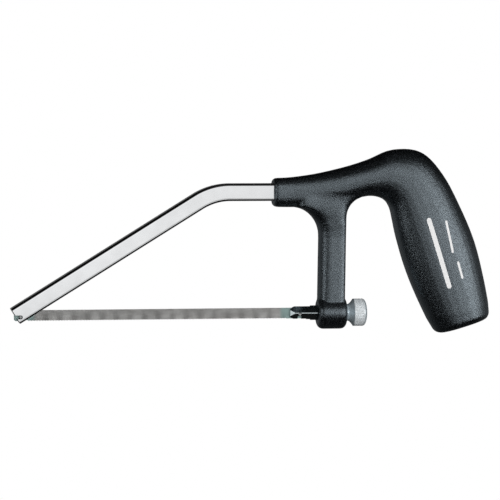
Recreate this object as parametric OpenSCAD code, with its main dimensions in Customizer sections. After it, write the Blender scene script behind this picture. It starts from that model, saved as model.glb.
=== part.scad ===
// Small pistol-grip hacksaw for pinned blades.
// X runs along the blade from tip to grip, Z is up with the teeth down, Y is across.
// The origin is under the middle of the saw, at the lowest point of the butt.

/* [Saw] */
// Height of the draw bar and nut axis above the lowest point
axis_z = 11; // [10.9:0.1:11.1]
// Height of the bar's centre line where it enters the socket
bar_z = 73.2; // [73:0.1:73.4]
// X of the socket's mouth
socket_x = 11.7; // [11.5:0.1:12]

/* [Blade] */
// Distance between the two blade pins
pin_pitch = 143.7; // [143:0.1:146]
// X of the rear blade pin
rear_pin_x = 25.6; // [25.5:0.1:25.8]
// Blade height over the teeth
blade_h = 5.5; // [5:0.1:6]
// Blade thickness
blade_t = 0.65; // [0.5:0.05:0.7]
// Blade material beyond each pin
blade_margin = 3.2; // [2.6:0.1:3.4]
// Tooth spacing
tooth_pitch = 0.8; // [0.8:0.1:1.6]
// Tooth depth
tooth_h = 0.45; // [0.3:0.05:0.5]
// Diameter of the blade pins
pin_d = 1.8; // [1.6:0.1:2]
// Length of the blade pins
pin_l = 6; // [5.5:0.1:6.4]

/* [Bar] */
// Side of the square bar
bar_s = 9; // [8.5:0.1:9.2]
// Rounding of the bar's long edges
bar_r = 1.1; // [0.8:0.1:1.3]
// Angle that the bar bends down
bar_angle = 31.7; // [31.5:0.1:32]
// Radius of the bend along the centre line
bend_r = 31.5; // [30:0.5:33]
// X where the bend starts
bend_x = -10.6; // [-11:0.1:-10]
// Length of the straight slanting part
slant_l = 110; // [109.5:0.1:110.5]
// Length of the bar inside the socket
tang_l = 34; // [30:1:36]
// Width of the saw slot that the blade stands in
saw_slot_w = 1; // [0.9:0.05:1.2]
// Height of the pin slot at the bar's end
pin_slot_h = 2; // [2:0.1:2.2]

/* [Handle] */
// Length of the boss along the draw bar
boss_l = 15.2; // [15:0.1:15.4]
// X of the boss's front face
boss_x = 34.8; // [34.6:0.1:35]
// Boss diameter
boss_d = 16.8; // [16:0.1:17]
// Rounding of the boss's edges
boss_r = 3; // [2:0.25:3.5]
// Thickness of the post
post_t = 13; // [12.5:0.5:13.5]
// Depth of the grip's cored hollow
core_l = 52; // [45:1:55]

/* [Holder and nut] */
// Side of the holder's square part that slides in the boss
guide_s = 5.6; // [5.4:0.1:5.8]
// Side of the holder's square nose
nose_s = 5; // [4.8:0.1:5.2]
// X of the holder's nose
nose_x = 20.7; // [20.5:0.1:21]
// Half width of the nose's flat tip
nose_tip = 2.1; // [2:0.1:2.3]
// Slope of the nose's facets
nose_slope = 0.55; // [0.5:0.05:0.6]
// Diameter of the holder's threaded tail
thread_d = 5; // [5:0.1:5.2]
// Diameter of the nut's rim
nut_d = 14.1; // [13.5:0.1:14.5]
// Diameter of the nut's neck and the washer
neck_d = 8.7; // [8.6:0.1:9]
// Number of knurl flutes round the rim
knurl_n = 48; // [36:4:60]

/* [Hidden] */
$fn = 64;
slide_gap = 0.05;

front_pin_x = rear_pin_x - pin_pitch;
pin_z = axis_z - 0.7;
blade_mid_z = pin_z + 0.6;
tang_x = socket_x + tang_l;
roll_pin_d = 3;
roll_pin_x = socket_x + 7;
roll_pin_l = 12.6;
roll_pin_z = 66.1;

boss_rear_x = boss_x + boss_l;
washer_t = 1;
washer_bore_d = thread_d + 0.4;
nut_x = boss_rear_x + washer_t + slide_gap;
nut_l = 9.7;
cone_l = 2.7;
rim_x = nut_x + cone_l;
rim_l = 4.8;
knurl_d = 0.5;
nut_bore_l = 8.7;
tail_l = 12;
guide_end_x = 47;

blade_top_z = blade_mid_z + blade_h / 2;
blade_low_z = blade_mid_z - blade_h / 2;
blade_x0 = front_pin_x - blade_margin;
blade_x1 = rear_pin_x + blade_margin;
toothed_x0 = blade_x0 + 7;
toothed_x1 = blade_x1 - 9;

// Stations along the handle's limb, from the socket to the butt. Each one is
// [inner edge X, inner edge Z, outer edge X, outer edge Z, half thickness, squareness].
stations = [
    [11.7, 65.6, 11.7, 80.4,  7.2, 3.4],
    [21.0, 65.4, 21.0, 80.8,  7.4, 3.3],
    [33.0, 65.9, 33.0, 82.4,  8.0, 3.0],
    [45.0, 67.5, 43.5, 84.6,  8.8, 2.8],
    [55.5, 69.9, 52.5, 86.9,  9.4, 2.7],
    [63.3, 71.0, 62.0, 90.0, 10.0, 2.6],
    [69.7, 69.2, 74.5, 94.9, 10.6, 2.5],
    [72.9, 64.9, 89.3, 93.6, 11.2, 2.5],
    [74.5, 58.3, 100.6, 82.2, 11.8, 2.5],
    [76.5, 49.2, 109.8, 65.3, 12.4, 2.5],
    [81.1, 33.9, 117.3, 47.6, 12.8, 2.5],
    [87.2, 19.0, 122.3, 28.4, 12.8, 2.5],
    [96.9, -1.0, 126.2, 8.0, 12.4, 2.5]
];
steps = 5;
ring_n = 32;
lip_r = 2;
butt_r = 4;
lip_steps = 4;
butt_dome = 0.6;

// Smooth value between b and c, a fraction t of the way, with a and d as their neighbours
function between(a, b, c, d, t) =
    b + (c - a) * t / 2 + (2 * a - 5 * b + 4 * c - d) * t * t / 2
    + (3 * b - a - 3 * c + d) * t * t * t / 2;
function station_at(s) =
    let (last = len(stations) - 1,
         i = min(floor(s), last - 1),
         t = s - i,
         b = stations[i],
         c = stations[i + 1],
         a = i > 0 ? stations[i - 1] : 2 * b - c,
         d = i + 2 <= last ? stations[i + 2] : 2 * c - b)
    between(a, b, c, d, t);

// Signed power used for rounded-square outlines
function bow(v, e) = sign(v) * pow(abs(v), e);

// One closed ring at a station, pulled in by inset and moved by shift along the limb
function limb_ring(st, inset, shift) =
    let (inner = [st[0], st[1]],
         outer = [st[2], st[3]],
         mid = (inner + outer) / 2,
         half = norm(outer - inner) / 2,
         across = (outer - inner) / (2 * half),
         along = [across[1], -across[0]],
         c = mid + along * shift,
         e = 2 / st[5])
    [for (k = [0:ring_n - 1])
        let (a = 360 * k / ring_n,
             u = (half - inset) * bow(cos(a), e),
             v = (st[4] - inset) * bow(sin(a), e))
        [c[0] + across[0] * u, v, c[1] + across[1] * u]];

// Solid skin over a list of rings that all have n points
module skin(rings, n) {
    last = len(rings) - 1;
    sides = [for (r = [0:last - 1], k = [0:n - 1], half = [0, 1])
        let (k2 = (k + 1) % n, a = r * n, b = (r + 1) * n)
        half == 0 ? [a + k, a + k2, b + k2] : [a + k, b + k2, b + k]];
    start_cap = [[for (k = [n - 1:-1:0]) k]];
    end_cap = [[for (k = [0:n - 1]) last * n + k]];
    polyhedron([for (ring = rings) each ring], concat(sides, start_cap, end_cap));
}

// Limb and grip: rounded lip at the socket, then the stations, then the rounded butt
module limb() {
    last = len(stations) - 1;
    lip = [for (k = [0:lip_steps - 1])
        let (a = 90 * k / lip_steps)
        limb_ring(stations[0], lip_r * (1 - sin(a)), lip_r * (1 - cos(a)))];
    butt = [for (k = [1:lip_steps + 1])
        let (a = 90 * k / (lip_steps + 1))
        limb_ring(stations[last], butt_r * (1 - cos(a)), butt_r * (sin(a) - 1))];
    body = [for (k = [1:last * steps - 1])
        let (s = k / steps)
        if (s < last - 0.28) limb_ring(station_at(s), 0, 0)];
    dome = [limb_ring(stations[last], butt_r + 5, butt_dome)];
    skin(concat(lip, body, butt, dome), ring_n);
}

// Post from the limb down to the boss. Its front edge is broad and its rear edge tight.
post_top_z = 74;
post_low_z = axis_z;
front_fillet_r = 15;
front_fillet_z = 50.7;
rear_fillet_r = 11;
rear_fillet_z = 60;
function flare(z, r, z0) = z < z0 ? 0 : r - sqrt(max(0, r * r - (z - z0) * (z - z0)));
function post_front(z) = 34.9 + 0.017 * (z - 10) - flare(min(z, 65.6), front_fillet_r, front_fillet_z);
function post_rear(z) = 48.8 + 0.015 * (z - 10) + flare(min(z, 70.6), rear_fillet_r, rear_fillet_z);
// The flanks swell towards the top, so that they run into the limb's without a step
post_swell = 1.5;
function ease(t) = let (c = max(0, min(1, t))) c * c * (3 - 2 * c);
function post_half(z) = post_t / 2 + post_swell * ease((z - 48) / 20) - ease((z - 70) / 5);
function post_ring(z) =
    let (x0 = post_front(z), x1 = post_rear(z), nose = 6, c = x0 + nose)
    [for (k = [0:ring_n - 1])
        let (a = 360 * k / ring_n,
             front = cos(a) < 0,
             e = front ? 2 / 2.2 : 2 / 7,
             reach = front ? nose : x1 - c)
        [c + reach * bow(cos(a), e), post_half(z) * bow(sin(a), front ? e : 2 / 7), z]];
module post() {
    levels = [post_low_z, 20, 30, 40, 50, 53, 56, 58.5, 60.5, 62, 63.3, 64.5, 65.6, 67, 68.2, 69.4,
              70.6, 72, 73, post_top_z];
    rings = [for (z = levels) post_ring(z)];
    skin([for (ring = rings) [for (k = [ring_n - 1:-1:0]) ring[k]]], ring_n);
}

// Boss with rounded edges, lying along X
module boss() {
    flat_r = boss_d / 2 - boss_r;
    translate([boss_x, 0, axis_z]) rotate([0, 90, 0]) rotate_extrude()
        union() {
            square([flat_r, boss_l]);
            translate([0, boss_r]) square([boss_d / 2, boss_l - 2 * boss_r]);
            for (z = [boss_r, boss_l - boss_r])
                translate([flat_r, z]) intersection() {
                    circle(boss_r);
                    translate([0, -boss_r]) square([boss_r, 2 * boss_r]);
                }
        }
}

// Square rod on its corner along X, centred on the draw axis
module diamond(x0, x1, side) {
    translate([x0, 0, axis_z]) rotate([45, 0, 0])
        translate([0, -side / 2, -side / 2]) cube([x1 - x0, side, side]);
}

// Rounded oblong column for the grip's hollow and its plug, from the butt inwards
butt = stations[len(stations) - 1];
butt_tilt = atan2(butt[3] - butt[1], butt[2] - butt[0]);
butt_mid = [butt[0] + butt[2], butt[1] + butt[3]] / 2;
core_w = 8;
core_t = 11;
plug_l = 7;
module core(from, to) {
    translate([butt_mid[0], 0, butt_mid[1]]) rotate([0, -butt_tilt, 0])
        translate([0, 0, from]) linear_extrude(to - from)
            union() {
                square([core_w, core_t], center = true);
                for (side = [-1, 1]) translate([side * core_w / 2, 0]) circle(core_t / 2);
            }
}

module handle_casting() color("#2b2e33") {
    difference() {
        union() {
            limb();
            post();
            boss();
        }
        translate([socket_x - 5, -bar_s / 2, bar_z - bar_s / 2])
            cube([tang_l + 5.5, bar_s, bar_s]);
        diamond(boss_x - 2, boss_rear_x + 2, guide_s + 2 * slide_gap);
        translate([roll_pin_x, 0, roll_pin_z - 4]) cylinder(d = roll_pin_d, h = roll_pin_l + 4.2);
        core(-8, core_l);
    }
}

module grip_end_plug() color("#232529") core(0, plug_l);

// One ring of the bar: a square with rounded corners at centre c, square to the run at that angle
bend_steps = 16;
corner_steps = 5;
function bar_ring(c, angle) =
    [for (corner = [0:3], step = [0:corner_steps])
        let (a = 90 * (corner + step / corner_steps),
             flat = bar_s / 2 - bar_r,
             up = flat * (corner < 2 ? 1 : -1) + bar_r * sin(a),
             y = flat * (corner == 0 || corner == 3 ? 1 : -1) + bar_r * cos(a))
        [c[0] - up * sin(angle), y, c[1] + up * cos(angle)]];
function bend_point(angle) =
    [bend_x - bend_r * sin(angle), bar_z - bend_r * (1 - cos(angle))];
bar_end = bend_point(bar_angle) - slant_l * [cos(bar_angle), sin(bar_angle)];

module frame_bar() color("#e4e6e8") {
    bend = [for (k = [0:bend_steps])
        let (angle = bar_angle * k / bend_steps)
        bar_ring(bend_point(angle), angle)];
    difference() {
        skin(concat([bar_ring([tang_x, bar_z], 0)], bend, [bar_ring(bar_end, bar_angle)]),
             4 * (corner_steps + 1));
        // Saw slot: open at the end face and at the lower face
        translate([front_pin_x - 12, -saw_slot_w / 2, pin_z - 12])
            cube([31, saw_slot_w, 12 + blade_top_z - pin_z + 0.4]);
        // Pin slot: level, open at the end face
        translate([front_pin_x - 12, -bar_s, pin_z - pin_slot_h / 2])
            cube([12, 2 * bar_s, pin_slot_h]);
        translate([front_pin_x, bar_s, pin_z]) rotate([90, 0, 0])
            cylinder(d = pin_slot_h, h = 2 * bar_s);
        translate([roll_pin_x, 0, bar_z - bar_s]) cylinder(d = roll_pin_d, h = 2 * bar_s);
    }
}

module bar_roll_pin() color("#8f9398") translate([roll_pin_x, 0, roll_pin_z]) difference() {
    cylinder(d = roll_pin_d, h = roll_pin_l);
    translate([0, 0, -1]) cylinder(d = roll_pin_d - 1.4, h = roll_pin_l + 2);
    translate([0, -0.3, -1]) cube([roll_pin_d, 0.6, roll_pin_l + 2]);
}

module thrust_washer() color("#dfe3e6") translate([boss_rear_x, 0, axis_z]) rotate([0, 90, 0])
    difference() {
        cylinder(d = neck_d, h = washer_t);
        translate([0, 0, -1]) cylinder(d = washer_bore_d, h = washer_t + 2);
    }

module tension_nut() color("#d8dde2") translate([nut_x, 0, axis_z]) rotate([0, 90, 0])
    difference() {
        union() {
            cylinder(d = neck_d, h = 0.2);
            translate([0, 0, 0.2]) cylinder(d1 = neck_d, d2 = nut_d, h = cone_l - 0.2);
            translate([0, 0, cone_l]) cylinder(d = nut_d, h = rim_l);
            translate([0, 0, cone_l + rim_l])
                cylinder(d1 = nut_d, d2 = nut_d - 2.4, h = 1.2);
            translate([0, 0, cone_l + rim_l + 1.2])
                cylinder(d1 = nut_d - 2.4, d2 = nut_d - 6.4, h = nut_l - cone_l - rim_l - 1.2);
        }
        translate([0, 0, -1]) cylinder(d = thread_d + 0.1, h = nut_bore_l + 1);
        for (k = [0:knurl_n - 1])
            rotate([0, 0, 360 * k / knurl_n]) translate([nut_d / 2 + 0.1, 0, cone_l + 0.4])
                cylinder(d = knurl_d, h = rim_l - 0.8, $fn = 16);
    }

module blade_holder() color("#3c4a4d") {
    difference() {
        union() {
            intersection() {
                diamond(nose_x, 31.3, nose_s);
                // Faceted nose: a square taper that takes the corners off
                translate([nose_x, 0, axis_z]) rotate([0, 90, 0]) rotate([0, 0, 45])
                    cylinder(r1 = nose_tip * sqrt(2), r2 = (nose_tip + 12 * nose_slope) * sqrt(2), h = 12, $fn = 4);
            }
            diamond(31.3, guide_end_x, guide_s);
            translate([guide_end_x - 1, 0, axis_z]) rotate([0, 90, 0])
                cylinder(d = thread_d, h = tail_l + 1);
        }
        // Saw slot for the blade, closed by a thin ridge on top
        translate([nose_x - 1, -saw_slot_w / 2, pin_z - 12])
            cube([blade_x1 - nose_x + 1.4, saw_slot_w, 12 + blade_top_z - pin_z + 0.3]);
        // Notch for the rear pin, open at the bottom
        translate([rear_pin_x - pin_d / 2 - 0.05, -6, pin_z - 12]) cube([pin_d + 0.1, 12, 12]);
        translate([rear_pin_x, 6, pin_z]) rotate([90, 0, 0]) cylinder(d = pin_d + 0.1, h = 12);
    }
}

module saw_blade() color("#84807a") {
    tooth_count = floor((toothed_x1 - toothed_x0) / tooth_pitch);
    edge = [for (k = [0:tooth_count - 1], corner = [0, 1])
        [toothed_x0 + (k + corner * 0.35) * tooth_pitch, blade_low_z + (1 - corner) * tooth_h]];
    outline = concat(
        [[blade_x0 + 1.2, blade_low_z], [toothed_x0 - 0.3, blade_low_z]],
        edge,
        [[toothed_x1 + 0.3, blade_low_z], [blade_x1 - 1.2, blade_low_z],
         [blade_x1, blade_low_z + 1.2], [blade_x1, blade_top_z - 1.2], [blade_x1 - 1.2, blade_top_z],
         [blade_x0 + 1.2, blade_top_z], [blade_x0, blade_top_z - 1.2], [blade_x0, blade_low_z + 1.2]]);
    difference() {
        translate([0, blade_t / 2, 0]) rotate([90, 0, 0]) linear_extrude(blade_t) polygon(outline);
        for (x = [front_pin_x, rear_pin_x])
            translate([x, blade_t, pin_z]) rotate([90, 0, 0]) cylinder(d = pin_d, h = 2 * blade_t);
    }
}

// Cross pin pressed through the blade
module blade_pin(x) {
    translate([x, pin_l / 2, pin_z]) rotate([90, 0, 0]) cylinder(d = pin_d, h = pin_l);
}

module front_blade_pin() color("#a9adb0") blade_pin(front_pin_x);

module rear_blade_pin() color("#a9adb0") blade_pin(rear_pin_x);

handle_casting();
grip_end_plug();
frame_bar();
bar_roll_pin();
thrust_washer();
tension_nut();
blade_holder();
saw_blade();
front_blade_pin();
rear_blade_pin();
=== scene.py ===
"""Looks for a small pistol-grip hacksaw: cast grip, bent chromed bar, pinned blade and tension nut."""
import math

import bmesh
import bpy
from mathutils import Matrix, Vector
from mathutils.bvhtree import BVHTree


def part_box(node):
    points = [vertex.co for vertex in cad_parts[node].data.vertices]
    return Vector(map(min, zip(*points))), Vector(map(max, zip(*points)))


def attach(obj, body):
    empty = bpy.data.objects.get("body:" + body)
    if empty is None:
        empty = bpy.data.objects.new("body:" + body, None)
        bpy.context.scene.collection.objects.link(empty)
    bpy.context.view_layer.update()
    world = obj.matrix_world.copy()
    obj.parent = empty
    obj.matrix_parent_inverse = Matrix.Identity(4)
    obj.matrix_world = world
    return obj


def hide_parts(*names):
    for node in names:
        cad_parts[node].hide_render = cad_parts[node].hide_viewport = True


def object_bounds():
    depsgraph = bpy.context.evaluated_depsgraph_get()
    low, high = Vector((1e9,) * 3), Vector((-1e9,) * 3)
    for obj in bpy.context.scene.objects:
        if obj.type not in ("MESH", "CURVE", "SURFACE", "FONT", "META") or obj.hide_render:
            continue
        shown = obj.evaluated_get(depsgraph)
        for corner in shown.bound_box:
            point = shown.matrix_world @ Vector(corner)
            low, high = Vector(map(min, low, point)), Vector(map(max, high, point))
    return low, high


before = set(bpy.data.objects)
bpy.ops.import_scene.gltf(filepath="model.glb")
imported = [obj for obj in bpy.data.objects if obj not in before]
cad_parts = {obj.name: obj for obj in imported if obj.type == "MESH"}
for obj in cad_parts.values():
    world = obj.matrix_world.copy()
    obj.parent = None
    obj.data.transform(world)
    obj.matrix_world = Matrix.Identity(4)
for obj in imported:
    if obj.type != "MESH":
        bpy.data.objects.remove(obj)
cad_box = [list(corner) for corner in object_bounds()]

MM = 0.001

# Driving sizes, taken from the frame where it holds them
nut_low, nut_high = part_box("tension_nut")
washer_low, washer_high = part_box("thrust_washer")
holder_low, holder_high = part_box("blade_holder")
blade_low, blade_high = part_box("saw_blade")
bar_low, bar_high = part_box("frame_bar")
front_pin_low, front_pin_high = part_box("front_blade_pin")
rear_pin_low, rear_pin_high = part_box("rear_blade_pin")
plug_low, plug_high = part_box("grip_end_plug")
roll_pin_low, roll_pin_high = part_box("bar_roll_pin")

AXIS_Z = (nut_low.z + nut_high.z) / 2
PIN_R = (front_pin_high.z - front_pin_low.z) / 2
PIN_Z = (front_pin_low.z + front_pin_high.z) / 2
FRONT_PIN_X = (front_pin_low.x + front_pin_high.x) / 2
REAR_PIN_X = (rear_pin_low.x + rear_pin_high.x) / 2
SOCKET_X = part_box("handle_casting")[0].x
BOSS_L = 15.2 * MM
BOSS_X = washer_low.x - BOSS_L
GUIDE_SIDE = 5.6 * MM
NOSE_SIDE = 5.0 * MM
THREAD_MAJOR_R = 2.5 * MM
roll_pin_r = (roll_pin_high.y - roll_pin_low.y) / 2
BAR_SIDE = bar_high.y - bar_low.y
BAR_ANGLE = math.radians(31.7)
BEND_X = -10.6 * MM
BEND_R = 31.5 * MM
BLADE_T = blade_high.y - blade_low.y
SLOT_W = 1.0 * MM
BAR_Z = bar_high.z - BAR_SIDE / 2
TANG_X = bar_high.x
ROLL_PIN_X = roll_pin_low.x + roll_pin_r

# Gap that keeps two neighbouring points of an outline from falling on each other
HAIR = 0.01 * MM

# How far a cutter reaches past the bar or the draw bar, and past the casting
REACH = 12 * MM
CASTING_REACH = 5 * MM


# ---------------------------------------------------------------- camera

CAMERA_AZIMUTH = math.radians(-9.0)
CAMERA_ELEVATION = math.radians(2.4)
CAMERA_DISTANCE = 1.6
VIEW_WIDTH = 256.5 * MM
AIM = Vector((0.0, 0.0, 43.5 * MM))


def make_camera():
    """Looks from slightly left of square and slightly above, as the photograph does."""
    data = bpy.data.cameras.new("camera")
    camera = bpy.data.objects.new("camera", data)
    bpy.context.scene.collection.objects.link(camera)
    back = Vector((
        math.sin(CAMERA_AZIMUTH) * math.cos(CAMERA_ELEVATION),
        -math.cos(CAMERA_AZIMUTH) * math.cos(CAMERA_ELEVATION),
        math.sin(CAMERA_ELEVATION),
    ))
    camera.location = AIM + back * CAMERA_DISTANCE
    camera.rotation_mode = "QUATERNION"
    camera.rotation_quaternion = (-back).to_track_quat("-Z", "Y")
    data.sensor_width = 36.0
    data.lens = data.sensor_width * CAMERA_DISTANCE / VIEW_WIDTH
    data.clip_start = 0.01
    data.clip_end = 100.0
    bpy.context.scene.camera = camera


# ---------------------------------------------------------------- stage and light

def node_material(name):
    """New material, its node tree and its Principled shader."""
    material = bpy.data.materials.new(name)
    material.use_nodes = True
    tree = material.node_tree
    shader = next(n for n in tree.nodes if n.type == "BSDF_PRINCIPLED")
    return material, tree, shader


SWEEP_STRENGTH = 1.2
PANEL_STRENGTH = 2.2
DARKEST = 0.002


def make_world():
    """A white page to the camera. Reflections see a studio: a bright sweep in front, a brighter narrow panel
    far to the left, a dim wall behind, and black overhead and underfoot, which draws the dark edges on
    bright metal."""
    world = bpy.data.worlds.new("studio")
    bpy.context.scene.world = world
    world.use_nodes = True
    tree = world.node_tree
    background = tree.nodes["Background"]
    direction = tree.nodes.new("ShaderNodeTexCoord").outputs["Generated"]
    split = tree.nodes.new("ShaderNodeSeparateXYZ")
    tree.links.new(direction, split.inputs[0])

    def along(axis, stops):
        """Grey ramp along one direction, its stops given from -1 to 1."""
        return ramp(tree, math_node(tree, "MULTIPLY_ADD", split.outputs[axis], 0.5, 0.5),
                    [((place + 1) / 2, level) for place, level in stops])

    sweep_height = along("Z", [(-0.18, 0.0), (-0.05, 0.9), (0.0, 1.0),
                               (0.20, 1.0), (0.36, 0.20), (0.55, 0.02)])
    sweep_width = along("X", [(-0.36, 0.02), (-0.18, 0.40), (-0.04, 0.9),
                              (0.06, 1.0), (0.30, 0.5), (0.9, 0.3)])
    back_height = along("Z", [(-0.6, 0.02), (-0.2, 0.14), (0.02, 0.14), (0.20, 0.10), (0.30, 0.0)])
    panel_height = along("Z", [(-0.10, 0.0), (-0.03, 1.0), (0.10, 1.0), (0.20, 0.0)])
    panel_width = along("X", [(-0.96, 0.0), (-0.92, 1.0), (-0.76, 1.0), (-0.68, 0.0)])
    front = along("Y", [(-0.25, 1.0), (0.05, 0.0)])
    back = along("Y", [(-0.05, 0.0), (0.25, 1.0)])
    sweep = math_node(tree, "MULTIPLY", math_node(tree, "MULTIPLY", sweep_height, sweep_width), front)
    sweep = math_node(tree, "MULTIPLY", sweep, SWEEP_STRENGTH)
    panel = math_node(tree, "MULTIPLY", math_node(tree, "MULTIPLY", panel_height, panel_width), front)
    panel = math_node(tree, "MULTIPLY", panel, PANEL_STRENGTH)
    studio = math_node(tree, "ADD", sweep, math_node(tree, "MULTIPLY", back_height, back))
    studio = math_node(tree, "ADD", math_node(tree, "MAXIMUM", studio, panel), DARKEST)
    page = tree.nodes.new("ShaderNodeLightPath").outputs["Is Camera Ray"]
    tree.links.new(math_node(tree, "MAXIMUM", studio, page), background.inputs["Color"])
    background.inputs["Strength"].default_value = 1.0


FLOOR_SIDE = 3.0
FLOOR_GAP = 0.2 * MM


def make_floor():
    """Plain floor as pale as the page, just under the saw. It takes no shadow, it is kept out of the saw's
    reflections, and it can't be seen from below, so that it doesn't hide the underside."""
    bm = bmesh.new()
    bmesh.ops.create_grid(bm, x_segments=1, y_segments=1, size=FLOOR_SIDE / 2)
    bmesh.ops.translate(bm, vec=(0, 0, cad_box[0][2] - FLOOR_GAP), verts=bm.verts)
    mesh = bpy.data.meshes.new("floor")
    bm.to_mesh(mesh)
    bm.free()
    floor = link_object("floor", mesh)
    material = bpy.data.materials.new("floor_paper")
    material.use_nodes = True
    tree = material.node_tree
    tree.nodes.clear()
    paper = tree.nodes.new("ShaderNodeEmission")
    clear = tree.nodes.new("ShaderNodeBsdfTransparent")
    either = tree.nodes.new("ShaderNodeMixShader")
    output = tree.nodes.new("ShaderNodeOutputMaterial")
    underside = tree.nodes.new("ShaderNodeNewGeometry").outputs["Backfacing"]
    tree.links.new(underside, either.inputs[0])
    tree.links.new(paper.outputs[0], either.inputs[1])
    tree.links.new(clear.outputs[0], either.inputs[2])
    tree.links.new(either.outputs[0], output.inputs["Surface"])
    mesh.materials.append(material)
    floor.visible_diffuse = False
    floor.visible_glossy = False
    floor.visible_transmission = False
    floor.visible_shadow = False


def make_light(name, place, aim, size, watts, glossy=True):
    """Soft rectangular light at a place, aimed at a point. Without glossy, reflections don't show it."""
    data = bpy.data.lights.new(name, "AREA")
    data.shape = "RECTANGLE"
    data.size, data.size_y = size
    data.energy = watts
    light = bpy.data.objects.new(name, data)
    bpy.context.scene.collection.objects.link(light)
    light.visible_glossy = glossy
    light.location = place
    light.rotation_mode = "QUATERNION"
    light.rotation_quaternion = (Vector(aim) - Vector(place)).to_track_quat("-Z", "Y")
    return light


CARD_DISTANCE = 1.6
CARD_DROP = 0.62
CARD_AIM = (0, 0, 0.05)
CARD_SIZE = (3.4, 0.75)
FRONT_CARD_WATTS = 5.5
BACK_CARD_WATTS = 2.4


def make_bar_cards(bar):
    """Pale cards low in front and low behind that only the bar reflects. Without them its flat sides mirror
    the black underfoot, and look painted black from any raised angle."""
    receivers = bpy.data.collections.new("bar_card_receivers")
    receivers.objects.link(bar)
    for name, side, watts in (("front_card", -1, FRONT_CARD_WATTS), ("back_card", 1, BACK_CARD_WATTS)):
        place = (0, side * CARD_DISTANCE, -CARD_DROP)
        card = make_light(name, place, CARD_AIM, CARD_SIZE, watts)
        card.light_linking.receiver_collection = receivers


# ---------------------------------------------------------------- mesh helpers

def link_object(name, mesh):
    piece = bpy.data.objects.new(name, mesh)
    bpy.context.scene.collection.objects.link(piece)
    return piece


def object_from_bmesh(name, bm, smooth_angle=None):
    """Piece made of the bmesh, shaded smooth up to the angle in degrees, or flat without one."""
    bmesh.ops.recalc_face_normals(bm, faces=bm.faces)
    mesh = bpy.data.meshes.new(name)
    bm.to_mesh(mesh)
    bm.free()
    piece = link_object(name, mesh)
    if smooth_angle is not None:
        shade(piece, smooth_angle)
    return piece


def shade(piece, angle):
    """Smooth shading, with every edge sharper than the angle (in degrees) kept crisp."""
    mesh = piece.data
    mesh.polygons.foreach_set("use_smooth", [True] * len(mesh.polygons))
    mesh.set_sharp_from_angle(angle=math.radians(angle))


def apply_modifiers(piece):
    """Replaces the piece's mesh by what its modifiers make of it."""
    graph = bpy.context.evaluated_depsgraph_get()
    result = bpy.data.meshes.new_from_object(piece.evaluated_get(graph))
    piece.modifiers.clear()
    piece.data = result


def combine(piece, operation, others):
    """Adds, cuts or keeps what is shared with the other pieces, and removes them."""
    for other in others:
        modifier = piece.modifiers.new("combine", "BOOLEAN")
        modifier.operation = operation
        modifier.solver = "EXACT"
        modifier.object = other
        apply_modifiers(piece)
        bpy.data.objects.remove(other)


def block(name, low, high):
    """Box between two opposite corners."""
    bm = bmesh.new()
    bmesh.ops.create_cube(bm, size=1)
    size = Vector(high) - Vector(low)
    middle = (Vector(high) + Vector(low)) / 2
    bmesh.ops.transform(bm, matrix=Matrix.Translation(middle) @ Matrix.Diagonal((*size, 1)), verts=bm.verts)
    return object_from_bmesh(name, bm)


def rod(name, start, axis, radius, length):
    """Round rod from start along axis."""
    bm = bmesh.new()
    bmesh.ops.create_cone(bm, cap_ends=True, segments=48, radius1=radius, radius2=radius, depth=length)
    turn = Vector((0, 0, 1)).rotation_difference(Vector(axis)).to_matrix().to_4x4()
    place = Matrix.Translation(Vector(start) + Vector(axis).normalized() * length / 2)
    bmesh.ops.transform(bm, matrix=place @ turn, verts=bm.verts)
    return object_from_bmesh(name, bm)


def skin(bm, rings, closed=False):
    """Faces between rings that all have the same number of points, with flat ends or a closed run."""
    rows = [[bm.verts.new(point) for point in ring] for ring in rings]
    pairs = list(zip(rows, rows[1:]))
    if closed:
        pairs.append((rows[-1], rows[0]))
    for low, high in pairs:
        for k in range(len(low)):
            k2 = (k + 1) % len(low)
            bm.faces.new((low[k], low[k2], high[k2], high[k]))
    if not closed:
        bm.faces.new(list(reversed(rows[0])))
        bm.faces.new(rows[-1])


def lathe(name, outline, sides, radius_at=None, smooth_angle=35):
    """Turns a closed outline of (x, radius) points round the draw axis."""
    bm = bmesh.new()
    rings = []
    for k in range(sides):
        angle = 2 * math.pi * k / sides
        ring = []
        for x, r in outline:
            radius = radius_at(x, r, angle) if radius_at else r
            ring.append((x, radius * math.sin(angle), AXIS_Z + radius * math.cos(angle)))
        rings.append(ring)
    skin(bm, rings, closed=True)
    bmesh.ops.remove_doubles(bm, verts=bm.verts, dist=1e-7)
    return object_from_bmesh(name, bm, smooth_angle)


def arc(centre, radius, start, end, steps):
    """Points on an arc in a plane, from the start angle to the end angle in degrees."""
    points = []
    for k in range(steps + 1):
        angle = math.radians(start + (end - start) * k / steps)
        points.append((centre[0] + radius * math.cos(angle), centre[1] + radius * math.sin(angle)))
    return points


def diamond(name, start, end, side, chamfer):
    """Square rod on its corner along the draw axis, with its four long edges chamfered."""
    corner = side / math.sqrt(2)
    ring = []
    for k in range(4):
        tip = Vector((math.cos(k * math.pi / 2), math.sin(k * math.pi / 2)))
        edge = Vector((-tip.y, tip.x)) * chamfer / 2
        face = tip * (corner - chamfer / 2)
        ring += [face - edge, face + edge]
    bm = bmesh.new()
    skin(bm, [[(x, v.x, AXIS_Z + v.y) for v in ring] for x in (start, end)])
    return object_from_bmesh(name, bm)


def finish_piece(piece, material, body, replaces=()):
    """Gives the piece its material, attaches it to its body, and hides the frame nodes it replaces."""
    piece.data.materials.clear()
    piece.data.materials.append(material)
    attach(piece, body)
    if replaces:
        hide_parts(*replaces)


# ---------------------------------------------------------------- material helpers

def object_coordinates(tree):
    return tree.nodes.new("ShaderNodeTexCoord").outputs["Object"]


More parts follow.
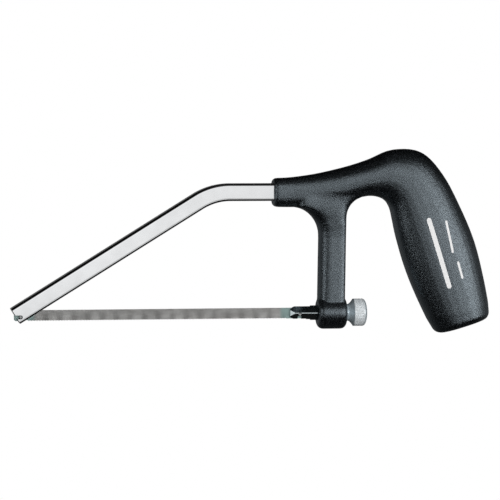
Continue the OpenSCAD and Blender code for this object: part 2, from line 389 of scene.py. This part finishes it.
def scaled(tree, vector, scale):
    """Coordinates stretched by a factor along each axis."""
    mapping = tree.nodes.new("ShaderNodeMapping")
    mapping.inputs["Scale"].default_value = scale
    tree.links.new(vector, mapping.inputs["Vector"])
    return mapping.outputs[0]


def noise(tree, vector, scale, detail, roughness):
    """Cloudy grey noise from 0 to 1."""
    node = tree.nodes.new("ShaderNodeTexNoise")
    node.inputs["Scale"].default_value = scale
    node.inputs["Detail"].default_value = detail
    node.inputs["Roughness"].default_value = roughness
    tree.links.new(vector, node.inputs["Vector"])
    return node.outputs["Fac"]


def ramp(tree, value, stops):
    """Colour ramp through (position, colour) stops, where a colour is a grey level or an RGB triple."""
    node = tree.nodes.new("ShaderNodeValToRGB")
    elements = node.color_ramp.elements
    while len(elements) < len(stops):
        elements.new(0.5)
    for element, (position, colour) in zip(elements, stops):
        element.position = position
        rgb = (colour,) * 3 if isinstance(colour, (int, float)) else colour
        element.color = (*rgb, 1)
    tree.links.new(value, node.inputs[0])
    return node.outputs[0]


def math_node(tree, operation, *values):
    """One sum on sockets or plain numbers."""
    node = tree.nodes.new("ShaderNodeMath")
    node.operation = operation
    for socket, value in zip(node.inputs, values):
        if isinstance(value, (int, float)):
            socket.default_value = value
        else:
            tree.links.new(value, socket)
    return node.outputs[0]


def mix(tree, factor, a, b):
    """Colour between a and b, where each is an RGB triple or a socket."""
    node = tree.nodes.new("ShaderNodeMix")
    node.data_type = "RGBA"
    tree.links.new(factor, node.inputs[0])
    for socket, value in ((node.inputs[6], a), (node.inputs[7], b)):
        if isinstance(value, tuple):
            socket.default_value = (*value, 1)
        else:
            tree.links.new(value, socket)
    return node.outputs[2]


def add_bump(tree, shader, height, distance, strength):
    """Bump as deep as the distance, in metres, where the height is 1."""
    node = tree.nodes.new("ShaderNodeBump")
    node.inputs["Distance"].default_value = distance
    node.inputs["Strength"].default_value = strength
    tree.links.new(height, node.inputs["Height"])
    tree.links.new(node.outputs[0], shader.inputs["Normal"])


# ---------------------------------------------------------------- materials

PARTING_LINE = 0.4 * MM


def make_powder_coat():
    """Black powder coating: a fine pebbled grain that glints, pale flecks painted into its colour as glints
    of that grain, and the casting's parting line.
    """
    material, tree, shader = node_material("black_powder_coat")
    coords = object_coordinates(tree)
    grain = noise(tree, coords, 2150.0, 1.5, 0.55)
    fine = noise(tree, coords, 5200.0, 1.0, 0.5)
    cloud = noise(tree, coords, 45.0, 3.0, 0.5)
    base = ramp(tree, cloud, [(0.3, (0.0014, 0.0017, 0.0020)), (0.7, (0.0030, 0.0035, 0.0040))])
    # Pale flecks in the coat's colour are painted glints, standing in for the sparkle of the pebbled grain.
    painted_glint_flecks = ramp(tree, grain, [(0.52, 0.0), (0.68, 1.0)])
    tree.links.new(mix(tree, painted_glint_flecks, base, (0.032, 0.036, 0.040)), shader.inputs["Base Color"])
    tree.links.new(ramp(tree, grain, [(0.3, 0.19), (0.75, 0.35)]), shader.inputs["Roughness"])
    shader.inputs["IOR"].default_value = 2.1
    shader.inputs["Specular IOR Level"].default_value = 1.0
    shader.inputs["Specular Tint"].default_value = (0.78, 0.91, 1.0, 1)
    split = tree.nodes.new("ShaderNodeSeparateXYZ")
    tree.links.new(coords, split.inputs[0])
    offset = math_node(tree, "ABSOLUTE", split.outputs["Y"])
    line = ramp(tree, math_node(tree, "DIVIDE", offset, PARTING_LINE), [(0.3, 1.0), (1.0, 0.0)])
    height = math_node(tree, "ADD", grain, math_node(tree, "MULTIPLY", fine, 0.5))
    height = math_node(tree, "ADD", height, math_node(tree, "MULTIPLY", line, 1.5))
    add_bump(tree, shader, height, 0.00011, 1.0)
    return material


CHROME_TINT = (0.84, 0.85, 0.86)
CHROME_ROUGHNESS = 0.08


def make_chrome():
    """Bright plating over ground steel, with faint grinding streaks and cloudy wear."""
    material, tree, shader = node_material("bar_chrome")
    coords = object_coordinates(tree)
    streaks = noise(tree, scaled(tree, coords, (3000.0, 60.0, 3000.0)), 1.0, 3.0, 0.6)
    cloud = noise(tree, coords, 140.0, 4.0, 0.6)
    dim = tuple(channel * 0.93 for channel in CHROME_TINT)
    tree.links.new(mix(tree, ramp(tree, cloud, [(0.35, 0.0), (0.7, 1.0)]), CHROME_TINT, dim),
                   shader.inputs["Base Color"])
    shader.inputs["Metallic"].default_value = 1.0
    mixed = math_node(tree, "ADD", math_node(tree, "MULTIPLY", streaks, 0.5),
                      math_node(tree, "MULTIPLY", cloud, 0.5))
    rough = ramp(tree, mixed, [(0.3, CHROME_ROUGHNESS * 0.8), (0.7, CHROME_ROUGHNESS * 1.35)])
    tree.links.new(rough, shader.inputs["Roughness"])
    add_bump(tree, shader, streaks, 0.000004, 0.6)
    return material


def make_plating():
    """Bright zinc plating with a cool cast, matt where the surface is knurled."""
    material, tree, shader = node_material("bright_plating")
    coords = object_coordinates(tree)
    split = tree.nodes.new("ShaderNodeSeparateXYZ")
    tree.links.new(coords, split.inputs[0])
    lift = math_node(tree, "SUBTRACT", split.outputs["Z"], AXIS_Z)
    reach = math_node(tree, "SQRT", math_node(tree, "ADD", math_node(tree, "POWER", lift, 2.0),
                                              math_node(tree, "POWER", split.outputs["Y"], 2.0)))
    rim_r = (nut_high.z - nut_low.z) / 2
    knurled = ramp(tree, math_node(tree, "DIVIDE", reach, rim_r), [(0.965, 0.0), (0.98, 1.0)])
    spots = noise(tree, coords, 1600.0, 3.0, 0.6)
    spotted = mix(tree, ramp(tree, spots, [(0.35, 0.0), (0.65, 1.0)]), (0.84, 0.91, 0.95), (0.94, 0.98, 1.0))
    tree.links.new(mix(tree, knurled, (0.80, 0.93, 1.0), spotted), shader.inputs["Base Color"])
    tree.links.new(ramp(tree, knurled, [(0.0, 0.30), (1.0, 0.34)]), shader.inputs["Roughness"])
    tree.links.new(ramp(tree, knurled, [(0.0, 0.6), (1.0, 0.25)]), shader.inputs["Metallic"])
    add_bump(tree, shader, spots, 0.00002, 0.5)
    return material


def make_steel(name, colour, roughness):
    """Plain machined steel with darker specks."""
    material, tree, shader = node_material(name)
    coords = object_coordinates(tree)
    spots = noise(tree, coords, 900.0, 4.0, 0.6)
    dark = tuple(channel * 0.7 for channel in colour)
    tree.links.new(mix(tree, ramp(tree, spots, [(0.35, 0.0), (0.65, 1.0)]), dark, colour),
                   shader.inputs["Base Color"])
    shader.inputs["Metallic"].default_value = 1.0
    rough = ramp(tree, spots, [(0.3, roughness * 0.8), (0.7, roughness * 1.2)])
    tree.links.new(rough, shader.inputs["Roughness"])
    add_bump(tree, shader, spots, 0.00001, 0.6)
    return material


# The pale ends differ in length: the grey part between them lies this far towards the front
BLADE_BODY_SHIFT = 1.3 * MM


def make_blade_steel():
    """Tempered blade: grey with long grinding streaks, and pale green-grey at both ends."""
    material, tree, shader = node_material("blade_steel")
    coords = object_coordinates(tree)
    split = tree.nodes.new("ShaderNodeSeparateXYZ")
    tree.links.new(coords, split.inputs[0])
    streaks = noise(tree, scaled(tree, coords, (120.0, 2500.0, 2500.0)), 1.0, 4.0, 0.65)
    cloud = noise(tree, scaled(tree, coords, (90.0, 90.0, 260.0)), 1.0, 4.0, 0.6)
    body = ramp(tree, cloud, [(0.3, (0.32, 0.315, 0.305)), (0.5, (0.43, 0.425, 0.415)),
                              (0.72, (0.56, 0.56, 0.55))])
    worn = mix(tree, ramp(tree, streaks, [(0.5, 0.0), (0.75, 0.6)]), body, (0.50, 0.51, 0.51))
    middle = (blade_low.x + blade_high.x) / 2 - BLADE_BODY_SHIFT
    half = (blade_high.x - blade_low.x) / 2
    from_middle = math_node(tree, "ABSOLUTE", math_node(tree, "SUBTRACT", split.outputs["X"], middle))
    end = ramp(tree, math_node(tree, "DIVIDE", from_middle, half), [(0.835, 0.0), (0.86, 1.0)])
    whole = mix(tree, end, worn, (0.42, 0.57, 0.55))
    tree.links.new(whole, shader.inputs["Base Color"])
    shader.inputs["Metallic"].default_value = 0.75
    tree.links.new(ramp(tree, streaks, [(0.3, 0.34), (0.7, 0.5)]), shader.inputs["Roughness"])
    add_bump(tree, shader, streaks, 0.00001, 0.5)
    return material


def make_print_ink():
    """White ink, a little thin in places."""
    material, tree, shader = node_material("white_print")
    coords = object_coordinates(tree)
    wear = noise(tree, coords, 1500.0, 2.0, 0.5)
    tree.links.new(ramp(tree, wear, [(0.25, (0.80, 0.81, 0.82)), (0.42, (1.0, 1.0, 1.0))]),
                   shader.inputs["Base Color"])
    shader.inputs["Roughness"].default_value = 0.5
    return material


def make_moulded_plastic():
    """Black plastic with a fine moulded grain, for the plug in the grip's end."""
    material, tree, shader = node_material("black_moulded_plastic")
    coords = object_coordinates(tree)
    grain = noise(tree, coords, 2600.0, 2.0, 0.5)
    tree.links.new(ramp(tree, grain, [(0.3, 0.016), (0.7, 0.024)]), shader.inputs["Base Color"])
    tree.links.new(ramp(tree, grain, [(0.3, 0.5), (0.7, 0.62)]), shader.inputs["Roughness"])
    add_bump(tree, shader, grain, 0.00003, 0.8)
    return material


# ---------------------------------------------------------------- handle casting

VOXEL = 0.5 * MM
SMOOTHING_PASSES = 9
FILL_OVERLAP = 0.3 * MM
SOCKET_GAP = 0.05 * MM
SOCKET_END_GAP = 0.2 * MM
GUIDE_GAP = 0.1 * MM
ROLL_PIN_GAP = 0.03 * MM
PLUG_GAP = 0.08 * MM
PLUG_DEPTH = 12 * MM
BUTT_DEPTH = 3.5 * MM
BUTT_TILT = math.atan2(9.0, 29.3)


def island_with(bm, seed):
    """Every vertex joined to the seed by edges."""
    found = {seed}
    edge_of_search = [seed]
    while edge_of_search:
        vertex = edge_of_search.pop()
        for edge in vertex.link_edges:
            other = edge.other_vert(vertex)
            if other not in found:
                found.add(other)
                edge_of_search.append(other)
    return found


def oblong_cutter(name, grow, low, high):
    """Column the shape of the grip's plug, square to the butt and centred on it."""
    middle = (plug_low + plug_high) / 2
    half_w, half_t = 4.0 * MM, 5.5 * MM + grow
    ring = arc((half_w, 0), half_t, -90, 90, 16) + arc((-half_w, 0), half_t, 90, 270, 16)
    bm = bmesh.new()
    skin(bm, [[(x, y, z) for x, y in ring] for z in (low, high)])
    turn = Matrix.Translation(middle) @ Matrix.Rotation(-BUTT_TILT, 4, "Y")
    bmesh.ops.transform(bm, matrix=turn, verts=bm.verts)
    return object_from_bmesh(name, bm)


JUNCTION_LEFT, JUNCTION_RIGHT = 34 * MM, 66 * MM
JUNCTION_LOW, JUNCTION_HIGH = 57 * MM, 73 * MM
JUNCTION_DEPTH = 4.5 * MM
JUNCTION_PASSES = 60


def melt_junction(handle):
    """Runs the post's flanks into the limb with no ledge between them, leaving the outline alone."""
    bm = bmesh.new()
    bm.from_mesh(handle.data)
    flank = [v for v in bm.verts if JUNCTION_LOW < v.co.z < JUNCTION_HIGH and abs(v.co.y) > JUNCTION_DEPTH
             and JUNCTION_LEFT < v.co.x < JUNCTION_RIGHT]
    for _ in range(JUNCTION_PASSES):
        bmesh.ops.smooth_vert(bm, verts=flank, factor=0.5,
                              use_axis_x=False, use_axis_y=True, use_axis_z=False)
    bm.to_mesh(handle.data)
    bm.free()


def make_handle(material):
    """The casting's outside, remeshed from the frame's solid, smoothed, and its holes cut again."""
    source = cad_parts["handle_casting"]
    handle = link_object("grip_casting", source.data.copy())
    handle.matrix_world = source.matrix_world.copy()
    half_bar = BAR_SIDE / 2 + FILL_OVERLAP
    combine(handle, "UNION", [
        block("fill_socket", (SOCKET_X, -half_bar, BAR_Z - half_bar),
              (TANG_X + 2 * MM, half_bar, BAR_Z + half_bar)),
        rod("fill_boss", (BOSS_X, 0, AXIS_Z), (1, 0, 0), 4.6 * MM, BOSS_L),
        rod("fill_pin", (ROLL_PIN_X, 0, roll_pin_low.z - 0.4 * MM), (0, 0, 1),
            roll_pin_r + FILL_OVERLAP, 5 * MM),
        oblong_cutter("fill_butt", FILL_OVERLAP, -BUTT_DEPTH, BUTT_DEPTH),
    ])
    remesh = handle.modifiers.new("remesh", "REMESH")
    remesh.mode = "VOXEL"
    remesh.voxel_size = VOXEL
    apply_modifiers(handle)
    bm = bmesh.new()
    bm.from_mesh(handle.data)
    outer = island_with(bm, max(bm.verts, key=lambda v: v.co.x))
    bmesh.ops.delete(bm, geom=[v for v in bm.verts if v not in outer], context="VERTS")
    bm.to_mesh(handle.data)
    bm.free()
    smooth = handle.modifiers.new("smooth", "SMOOTH")
    smooth.factor = 0.5
    smooth.iterations = SMOOTHING_PASSES
    apply_modifiers(handle)
    melt_junction(handle)
    half_hole = BAR_SIDE / 2 + SOCKET_GAP
    combine(handle, "DIFFERENCE", [
        block("cut_socket", (SOCKET_X - CASTING_REACH, -half_hole, BAR_Z - half_hole),
              (TANG_X + SOCKET_END_GAP, half_hole, BAR_Z + half_hole)),
        diamond("cut_guide", BOSS_X - CASTING_REACH, BOSS_X + BOSS_L + CASTING_REACH,
                GUIDE_SIDE + GUIDE_GAP, DRAW_BAR_CHAMFER),
        rod("cut_pin", (ROLL_PIN_X, 0, roll_pin_low.z - CASTING_REACH), (0, 0, 1),
            roll_pin_r + ROLL_PIN_GAP, 9 * MM),
        oblong_cutter("cut_butt", PLUG_GAP, -PLUG_DEPTH, BUTT_DEPTH),
    ])
    shade(handle, 40)
    finish_piece(handle, material, "frame", ["handle_casting"])
    return handle


# The print is a plain long stripe and two short ones beside it, with no lettering: each stripe's two ends
# as (X, Z), and its half width, in millimetres.
PRINT_STRIPES = [
    ((90.8, 59.9), (102.1, 23.5), 1.2),
    ((100.1, 58.6), (103.7, 41.8), 0.6),
    ((106.3, 37.5), (108.8, 28.5), 0.6),
]
INK_ABOVE = 0.05 * MM
INK_BELOW = 0.1 * MM
POINTS_ACROSS = 5


def make_print(handle, material):
    """Thin inked stripes laid on the near side of the grip, each a closed sheet with rounded ends."""
    tree = BVHTree.FromObject(handle, bpy.context.evaluated_depsgraph_get())
    bm = bmesh.new()
    for start, end, half in PRINT_STRIPES:
        start = Vector(start)
        run = Vector(end) - start
        side = Vector((-run.y, run.x)).normalized()
        count = max(12, round(run.length / 0.5))
        rows = []
        for k in range(count + 1):
            from_end = min(k, count - k) / count * run.length
            width = half if from_end > half else math.sqrt(max(0.02, 1 - (1 - from_end / half) ** 2)) * half
            row = []
            for step in range(POINTS_ACROSS):
                spot = start + run * k / count + side * width * (step / 2 - 1)
                in_front = Vector((spot.x * MM, -0.1, spot.y * MM))
                place, normal, _, _ = tree.ray_cast(in_front, Vector((0, 1, 0)))
                above = bm.verts.new(place + normal * INK_ABOVE)
                below = bm.verts.new(place - normal * INK_BELOW)
                row.append((above, below))
            rows.append(row)
        loops = [[above for above, _ in row] + [below for _, below in reversed(row)] for row in rows]
        for low, high in zip(loops, loops[1:]):
            for j in range(2 * POINTS_ACROSS):
                j2 = (j + 1) % (2 * POINTS_ACROSS)
                bm.faces.new((low[j], low[j2], high[j2], high[j]))
        for loop in (loops[0], loops[-1]):
            for j in range(POINTS_ACROSS - 1):
                bm.faces.new((loop[j], loop[j + 1], loop[-2 - j], loop[-1 - j]))
    ink = object_from_bmesh("grip_print", bm, 60)
    finish_piece(ink, material, "frame")


# ---------------------------------------------------------------- bar

BAR_ROUNDING = 1.4 * MM
SUPPORT_GAP = 0.12 * MM
END_CHAMFER = 0.18 * MM
BEND_STEPS = 24
SAW_SLOT_L = 19 * MM
SAW_SLOT_GAP = 0.4 * MM
PIN_SLOT_GAP = 0.1 * MM


def bar_ring(centre, angle, inset=0.0):
    """Square with rounded corners, square to the run at that angle. Each rounding has a support point
    on either side, so the flat faces shade flat."""
    half = BAR_SIDE / 2 - inset
    flat = half - BAR_ROUNDING
    ring = []
    for corner in range(4):
        up = flat if corner < 2 else -flat
        across = flat if corner in (0, 3) else -flat
        points = arc((across, up), BAR_ROUNDING, 90 * corner, 90 * corner + 90, 6)
        first, last = Vector(points[0]), Vector(points[-1])
        towards = Vector((-math.sin(math.radians(90 * corner)), math.cos(math.radians(90 * corner))))
        before = first - towards * SUPPORT_GAP
        after = last + Vector((-towards.y, towards.x)) * SUPPORT_GAP
        for across_point, up_point in [tuple(before), *points, tuple(after)]:
            ring.append((centre[0] - up_point * math.sin(angle), across_point,
                         centre[1] + up_point * math.cos(angle)))
    return ring


def make_bar(material):
    """Bar with its bend, the saw slot at its front end, the hook for the blade's pin, and the roll pin's
    hole."""
    def bend_point(angle):
        return (BEND_X - BEND_R * math.sin(angle), BAR_Z - BEND_R * (1 - math.cos(angle)))

    turned = bend_point(BAR_ANGLE)
    end_x = bar_low.x + BAR_SIDE / 2 * math.sin(BAR_ANGLE)
    slant = (turned[0] - end_x) / math.cos(BAR_ANGLE)

    def slant_point(distance):
        return (turned[0] - distance * math.cos(BAR_ANGLE), turned[1] - distance * math.sin(BAR_ANGLE))

    rings = [bar_ring((TANG_X, BAR_Z), 0, END_CHAMFER), bar_ring((TANG_X - END_CHAMFER, BAR_Z), 0)]
    for k in range(BEND_STEPS + 1):
        angle = BAR_ANGLE * k / BEND_STEPS
        rings.append(bar_ring(bend_point(angle), angle))
    rings.append(bar_ring(slant_point(slant - END_CHAMFER), BAR_ANGLE))
    rings.append(bar_ring(slant_point(slant), BAR_ANGLE, END_CHAMFER))
    bm = bmesh.new()
    skin(bm, rings)
    bar = object_from_bmesh("bent_bar", bm)
    pin_slot = PIN_R + PIN_SLOT_GAP
    half_slot = SLOT_W / 2
    combine(bar, "DIFFERENCE", [
        block("cut_saw_slot", (FRONT_PIN_X - REACH, -half_slot, PIN_Z - REACH),
              (FRONT_PIN_X + SAW_SLOT_L, half_slot, blade_high.z + SAW_SLOT_GAP)),
        block("cut_pin_slot", (FRONT_PIN_X - REACH, -BAR_SIDE, PIN_Z - pin_slot),
              (FRONT_PIN_X, BAR_SIDE, PIN_Z + pin_slot)),
        rod("cut_pin_seat", (FRONT_PIN_X, -BAR_SIDE, PIN_Z), (0, 1, 0), pin_slot, 2 * BAR_SIDE),
        rod("cut_roll_pin", (ROLL_PIN_X, 0, BAR_Z - BAR_SIDE), (0, 0, 1),
            roll_pin_r, 2 * BAR_SIDE),
    ])
    shade(bar, 25)
    finish_piece(bar, material, "frame", ["frame_bar"])
    return bar


# ---------------------------------------------------------------- blade

TOOTH_PITCH = 0.8 * MM
TOOTH_H = 0.45 * MM
TOOTH_SET = 0.14 * MM
TEETH_PER_WAVE = 9
TOOTH_LEAN = 0.35
ROOT_SWAY = 0.3
BENT_ROOT = 0.25 * MM
PLAIN_FRONT = 7 * MM
PLAIN_REAR = 9 * MM
EYE_GRIP = 0.05 * MM
PIN_CHAMFER = 0.3 * MM
BLADE_CORNER = 1.2 * MM


def make_blade(material):
    """Blade with rounded corners and fine teeth set in a wave to either side."""
    root = blade_low.z + TOOTH_H + BENT_ROOT
    tooth_start = blade_low.x + PLAIN_FRONT
    tooth_end = blade_high.x - PLAIN_REAR
    columns = []

    def end_column(distance, from_start):
        rise = math.sqrt(max(0.0, BLADE_CORNER ** 2 - (BLADE_CORNER - distance) ** 2))
        drop = BLADE_CORNER - rise
        x = blade_low.x + distance if from_start else blade_high.x - distance
        columns.append((x, blade_low.z + drop, blade_high.z - drop, 0.0))

    end_steps = [BLADE_CORNER * (1 - math.cos(math.pi / 2 * k / 6)) for k in range(7)]
    for distance in end_steps:
        end_column(distance, True)
    teeth = int((tooth_end - tooth_start) / TOOTH_PITCH)
    for k in range(teeth):
        sway = TOOTH_SET * math.sin(2 * math.pi * k / TEETH_PER_WAVE)
        x = tooth_start + k * TOOTH_PITCH
        columns.append((x, blade_low.z + TOOTH_H, blade_high.z, sway * ROOT_SWAY))
        columns.append((x + TOOTH_LEAN * TOOTH_PITCH, blade_low.z, blade_high.z, sway))
    columns.append((tooth_end + 0.2 * MM, blade_low.z, blade_high.z, 0.0))
    for distance in reversed(end_steps):
        end_column(distance, False)
    half = BLADE_T / 2
    bm = bmesh.new()
    rings = []
    for x, low, high, sway in columns:
        level = max(low + HAIR, min(root, high - 2 * HAIR))
        rings.append([
            (x, sway - half, low), (x, -half, level), (x, -half, high - HAIR),
            (x, half, high - HAIR), (x, half, level), (x, sway + half, low),
        ])
    skin(bm, rings)
    blade = object_from_bmesh("toothed_blade", bm)
    combine(blade, "DIFFERENCE", [
        rod("cut_eye", (x, -2 * MM, PIN_Z), (0, 1, 0), PIN_R - EYE_GRIP, 4 * MM)
        for x in (FRONT_PIN_X, REAR_PIN_X)
    ])
    shade(blade, 25)
    finish_piece(blade, material, "holder", ["saw_blade"])


def make_blade_pin(name, node, x, material):
    """Cross pin with chamfered ends."""
    low_y, high_y = front_pin_low.y, front_pin_high.y
    stations = [(low_y, PIN_R - PIN_CHAMFER), (low_y + PIN_CHAMFER, PIN_R),
                (high_y - PIN_CHAMFER, PIN_R), (high_y, PIN_R - PIN_CHAMFER)]
    bm = bmesh.new()
    skin(bm, [[(px, y, pz) for px, pz in arc((x, PIN_Z), r, 0, 348.75, 31)] for y, r in stations])
    pin = object_from_bmesh(name, bm, 30)
    finish_piece(pin, material, "holder", [node])


# ---------------------------------------------------------------- holder, washer and nut

THREAD_PITCH = 0.8 * MM
THREAD_DEPTH = 0.4 * MM
GUIDE_END_X = 47 * MM
NOSE_END_X = 31.3 * MM
NOSE_TIP = 2.1 * MM
NOSE_SLOPE = 0.55
NOSE_TAPER = 12 * MM
DRAW_BAR_CHAMFER = 0.4 * MM
THREAD_END = 0.9 * MM
THREAD_STEPS = 120
TAIL_OVERLAP = 0.5 * MM
NOTCH_GAP = 0.05 * MM
HOLDER_SLOT_END_GAP = 0.4 * MM
HOLDER_SLOT_TOP_GAP = 0.3 * MM
WASHER_EDGE = 0.15 * MM
WASHER_GAP = 0.2 * MM


def make_holder(material):
    """Square draw bar on its corner: a faceted nose with a saw slot and a pin notch, the part that slides
    in the boss, and the threaded tail."""
    holder = diamond("draw_bar", NOSE_END_X, GUIDE_END_X, GUIDE_SIDE, DRAW_BAR_CHAMFER)
    nose = diamond("nose", holder_low.x, NOSE_END_X, NOSE_SIDE, DRAW_BAR_CHAMFER)
    bm = bmesh.new()
    skin(bm, [[(holder_low.x + x, y, z) for y, z in arc((0, AXIS_Z), half * math.sqrt(2), 45, 315, 3)]
              for x, half in ((0.0, NOSE_TIP), (NOSE_TAPER, NOSE_TIP + NOSE_TAPER * NOSE_SLOPE))])
    combine(nose, "INTERSECT", [object_from_bmesh("nose_facets", bm)])
    combine(holder, "UNION", [nose])
    half_slot = SLOT_W / 2
    notch = PIN_R + NOTCH_GAP
    combine(holder, "DIFFERENCE", [
        block("cut_slot", (holder_low.x - 1 * MM, -half_slot, PIN_Z - REACH),
              (blade_high.x + HOLDER_SLOT_END_GAP, half_slot, blade_high.z + HOLDER_SLOT_TOP_GAP)),
        block("cut_notch", (REAR_PIN_X - notch, -REACH / 2, PIN_Z - REACH),
              (REAR_PIN_X + notch, REACH / 2, PIN_Z)),
        rod("cut_notch_top", (REAR_PIN_X, -REACH / 2, PIN_Z), (0, 1, 0), notch, REACH),
    ])
    shade(holder, 22)
    finish_piece(holder, material, "holder", ["blade_holder"])

    tail_end = holder_high.x
    major = THREAD_MAJOR_R

    def thread(x, r, angle):
        if r < major - HAIR or x > tail_end - THREAD_END:
            return r
        turn = ((x - GUIDE_END_X) / THREAD_PITCH - angle / (2 * math.pi)) % 1
        return r - THREAD_DEPTH * abs(2 * turn - 1)

    tail_start = GUIDE_END_X - TAIL_OVERLAP
    outline = [(tail_start, 0), (tail_start, major - THREAD_DEPTH)]
    thread_run = tail_end - THREAD_END - GUIDE_END_X
    for k in range(THREAD_STEPS + 1):
        outline.append((GUIDE_END_X + thread_run * k / THREAD_STEPS, major))
    outline += [(tail_end - 0.5 * MM, major - 0.4 * MM), (tail_end, major - 0.9 * MM), (tail_end, 0)]
    tail = lathe("draw_thread", outline, 40, thread, 60)
    finish_piece(tail, material, "holder")


def make_washer(material):
    """Flat washer with its edges broken."""
    edge = WASHER_EDGE
    low, high = washer_low.x, washer_high.x
    outer = (washer_high.z - washer_low.z) / 2
    bore = THREAD_MAJOR_R + WASHER_GAP
    outline = [(low, bore + edge), (low, outer - edge), (low + edge, outer), (high - edge, outer),
               (high, outer - edge), (high, bore + edge), (high - edge, bore), (low + edge, bore)]
    finish_piece(lathe("bright_washer", outline, 96), material, "frame", ["thrust_washer"])


KNURL_COUNT = 48
KNURL_DEPTH = 0.12 * MM
NECK_R = 4.35 * MM
FLARE_L = 2.75 * MM
RIM_L = 4.8 * MM
RIM_BREAK = 0.25 * MM
KNURL_MARGIN = 0.27 * MM
HOLLOW_L = 8.7 * MM
NUT_BORE_GAP = 0.05 * MM
PROFILE_STEPS = 12


def make_nut(material):
    """Turned nut: neck, hollow flare, straight-knurled rim and a low domed end."""
    start, end = nut_low.x, nut_high.x
    rim_r = (nut_high.z - nut_low.z) / 2
    rim_start = start + FLARE_L
    rim_end = rim_start + RIM_L
    bore = THREAD_MAJOR_R + NUT_BORE_GAP
    flare = []
    for k in range(PROFILE_STEPS + 1):
        t = k / PROFILE_STEPS
        flare.append((start + 0.15 * MM + t * (rim_start - start - 0.3 * MM),
                      NECK_R + (rim_r - 0.15 * MM - NECK_R) * (0.5 * t + 0.5 * t * t)))
    rim = [(rim_start, rim_r), (rim_start + RIM_BREAK, rim_r), (rim_start + 0.3 * MM, rim_r)]
    rim += [(rim_start + (0.4 + k * 0.8) * MM, rim_r) for k in range(6)]
    rim += [(rim_end - 0.3 * MM, rim_r), (rim_end - RIM_BREAK, rim_r), (rim_end, rim_r)]
    dome_start = rim_end + RIM_BREAK
    dome_r = rim_r - KNURL_DEPTH
    dome = [(dome_start, dome_r)]
    for k in range(1, PROFILE_STEPS):
        angle = math.radians(90 * k / PROFILE_STEPS)
        dome.append((dome_start + (end - dome_start) * math.sin(angle), dome_r * math.cos(angle) ** 0.8))
    outline = [(start + HOLLOW_L, 0), (start + HOLLOW_L, bore), (start + 0.25 * MM, bore),
               (start, bore + 0.25 * MM), (start, NECK_R - 0.1 * MM), (start + 0.1 * MM, NECK_R)]
    outline += flare + rim + dome + [(end, 0)]
    knurl_low, knurl_high = rim_start + KNURL_MARGIN, rim_end - KNURL_MARGIN

    def knurled(x, r, angle):
        if r < rim_r - HAIR or not knurl_low < x < knurl_high:
            return r
        phase = (angle * KNURL_COUNT / (2 * math.pi)) % 1
        return r - KNURL_DEPTH * (1 - abs(2 * phase - 1)) ** 2

    finish_piece(lathe("knurled_nut", outline, KNURL_COUNT * 6, knurled, 40), material,
                 "nut", ["tension_nut"])


powder_coat = make_powder_coat()
bar_chrome = make_chrome()
plated = make_plating()
holder_steel = make_steel("holder_steel", (0.74, 0.83, 0.85), 0.12)
pin_steel = make_steel("pin_steel", (0.62, 0.64, 0.64), 0.3)
blade_steel = make_blade_steel()

make_camera()
make_world()
make_floor()
make_light("key", (0.85, -0.95, 0.10), (0.09, 0, 0.05), (0.5, 0.6), 1.7)
make_light("fill", (0.15, -1.25, 0.25), (0.03, 0, 0.04), (1.0, 0.7), 11.0, glossy=False)
make_bar_cards(make_bar(bar_chrome))
make_print(make_handle(powder_coat), make_print_ink())
make_blade(blade_steel)
make_blade_pin("front_cross_pin", "front_blade_pin", FRONT_PIN_X, pin_steel)
make_blade_pin("rear_cross_pin", "rear_blade_pin", REAR_PIN_X, pin_steel)
make_holder(holder_steel)
make_washer(plated)
make_nut(plated)

for name, material in (("grip_end_plug", make_moulded_plastic()), ("bar_roll_pin", pin_steel)):
    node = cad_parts[name]
    node.data.materials.clear()
    node.data.materials.append(material)

view = bpy.context.scene.view_settings
view.view_transform = "Standard"
